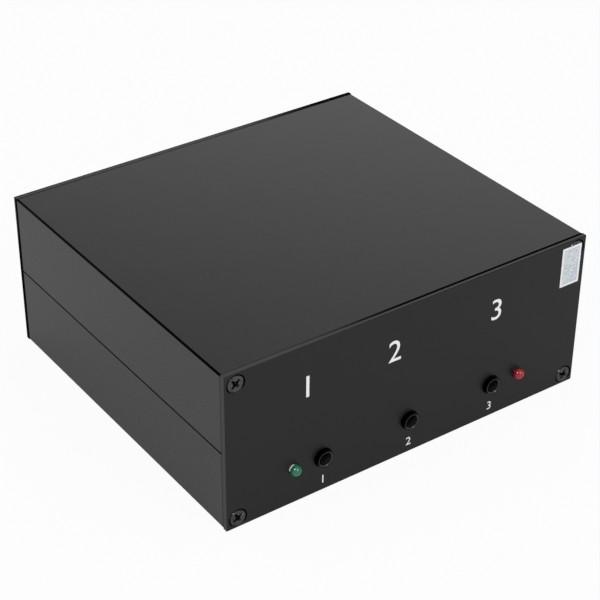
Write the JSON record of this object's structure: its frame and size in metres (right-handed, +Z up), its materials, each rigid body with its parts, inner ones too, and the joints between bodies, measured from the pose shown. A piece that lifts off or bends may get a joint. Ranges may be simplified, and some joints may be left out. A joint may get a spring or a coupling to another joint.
{
  "type": "coaxial antenna switch",
  "caption": "Low black aluminium case that switches an antenna between a receiver and a transceiver, with audio jacks and lamps in front and coaxial sockets behind.",
  "frame": {"origin": "centre of the case's flat underside", "axes": "+Z up, +X to the right seen from the front panel, +Y towards the rear panel"},
  "size_m": [0.11, 0.1163, 0.0445],
  "materials": {
    "case": "black anodised, satin",
    "panel": "black anodised, satin",
    "screws": "black oxide",
    "board": "green solder resist",
    "black_plastic": "moulded, glossy",
    "dark_plastic": "moulded, matt",
    "white_plastic": "moulded, satin",
    "spring_bronze": "bright rolled strip",
    "silver_contact": "silver plated",
    "green_lens": "clear tinted epoxy",
    "red_lens": "clear tinted epoxy",
    "tinned_wire": "tinned",
    "nickel": "nickel plated brass",
    "gold": "gold plated brass",
    "plated_screws": "bright zinc plated",
    "iron": "zinc plated soft iron",
    "copper_winding": "enamelled copper wire",
    "relay_cover": "moulded, glossy",
    "capacitor_can": "sleeved aluminium can",
    "resistor_body": "lacquered"
  },
  "bodies": {
    "case": {"lower_shell": "case", "upper_shell": "case", "front_panel": "panel", "rear_panel": "panel", "front_panel_screws": "screws", "rear_panel_screws": "screws", "circuit_board": "board", "jack_break_contacts": "spring_bronze", "jack_sleeve_contacts": "silver_contact", "green_lamp": "green_lens", "red_lamp": "red_lens", "lamp_leads": "tinned_wire", "antenna_socket": "nickel", "transceiver_socket": "nickel", "socket_insulators": "white_plastic", "socket_contacts": "silver_contact", "socket_leads": "tinned_wire", "socket_screws": "plated_screws", "socket_nuts": "plated_screws", "receiver_socket": "gold", "receiver_socket_insulator": "white_plastic", "receiver_socket_contact": "gold", "receiver_socket_nut_and_washer": "gold", "keying_socket_housing": "black_plastic", "keying_socket_sleeve": "nickel", "keying_socket_contact": "silver_contact", "power_socket_housing": "black_plastic", "power_socket_pin": "silver_contact", "power_socket_spring": "spring_bronze", "smoothing_capacitors": "capacitor_can", "voltage_regulator": "dark_plastic", "driver_transistors": "dark_plastic", "resistors": "resistor_body", "left_jack_housing": "black_plastic", "centre_jack_housing": "black_plastic", "right_jack_housing": "black_plastic", "antenna_relay_base": "dark_plastic", "antenna_relay_yoke": "iron", "antenna_relay_core": "iron", "antenna_relay_bobbin": "white_plastic", "antenna_relay_coil": "copper_winding", "antenna_relay_fixed_contacts": "silver_contact", "antenna_relay_cover": "relay_cover", "audio_relay_base": "dark_plastic", "audio_relay_yoke": "iron", "audio_relay_core": "iron", "audio_relay_bobbin": "white_plastic", "audio_relay_coil": "copper_winding", "audio_relay_fixed_contacts": "silver_contact", "audio_relay_cover": "relay_cover"},
    "left_jack_tip": {"left_jack_tip_spring": "spring_bronze"},
    "left_jack_ring": {"left_jack_ring_spring": "spring_bronze"},
    "centre_jack_tip": {"centre_jack_tip_spring": "spring_bronze"},
    "centre_jack_ring": {"centre_jack_ring_spring": "spring_bronze"},
    "right_jack_tip": {"right_jack_tip_spring": "spring_bronze"},
    "right_jack_ring": {"right_jack_ring_spring": "spring_bronze"},
    "antenna_relay_moving": {"antenna_relay_armature": "iron", "antenna_relay_contact_blade": "spring_bronze"},
    "audio_relay_moving": {"audio_relay_armature": "iron", "audio_relay_contact_blade": "spring_bronze"}
  },
  "joints": [
    {"name": "left_jack_tip_flex", "type": "hinge", "parent": "case", "child": "left_jack_tip", "pos_m": [-0.02388, -0.0447, 0.01], "axis": [0, 0, -1], "range_deg": [0, 4.5], "stiffness_Nm_per_rad": 0.0015, "springref_deg": -11.46},
    {"name": "left_jack_ring_flex", "type": "hinge", "parent": "case", "child": "left_jack_ring", "pos_m": [-0.03012, -0.0367, 0.01], "axis": [0, 0, -1], "range_deg": [0, 4.5], "stiffness_Nm_per_rad": 0.0015, "springref_deg": -11.46},
    {"name": "centre_jack_tip_flex", "type": "hinge", "parent": "case", "child": "centre_jack_tip", "pos_m": [0.00263, -0.0447, 0.01], "axis": [0, 0, -1], "range_deg": [0, 4.5], "stiffness_Nm_per_rad": 0.0015, "springref_deg": -11.46},
    {"name": "centre_jack_ring_flex", "type": "hinge", "parent": "case", "child": "centre_jack_ring", "pos_m": [-0.00363, -0.0367, 0.01], "axis": [0, 0, -1], "range_deg": [0, 4.5], "stiffness_Nm_per_rad": 0.0015, "springref_deg": -11.46},
    {"name": "right_jack_tip_flex", "type": "hinge", "parent": "case", "child": "right_jack_tip", "pos_m": [0.02913, -0.0447, 0.01], "axis": [0, 0, -1], "range_deg": [0, 4.5], "stiffness_Nm_per_rad": 0.0015, "springref_deg": -11.46},
    {"name": "right_jack_ring_flex", "type": "hinge", "parent": "case", "child": "right_jack_ring", "pos_m": [0.02287, -0.0367, 0.01], "axis": [0, 0, -1], "range_deg": [0, 4.5], "stiffness_Nm_per_rad": 0.0015, "springref_deg": -11.46},
    {"name": "antenna_relay_swing", "type": "hinge", "parent": "case", "child": "antenna_relay_moving", "pos_m": [0.0106, 0.018, 0.0179], "axis": [0, 1, 0], "range_deg": [0, 4], "stiffness_Nm_per_rad": 0.02, "springref_deg": -5.73},
    {"name": "audio_relay_swing", "type": "hinge", "parent": "case", "child": "audio_relay_moving", "pos_m": [-0.0229, -0.016, 0.0145], "axis": [0, 1, 0], "range_deg": [0, 4], "stiffness_Nm_per_rad": 0.02, "springref_deg": -5.73}
  ],
  "couplings": [
    {"joint": "left_jack_ring_flex", "follows": "left_jack_tip_flex", "ratio": 1},
    {"joint": "centre_jack_ring_flex", "follows": "centre_jack_tip_flex", "ratio": 1},
    {"joint": "right_jack_ring_flex", "follows": "right_jack_tip_flex", "ratio": 1},
    {"joint": "audio_relay_swing", "follows": "antenna_relay_swing", "ratio": 1}
  ]
}
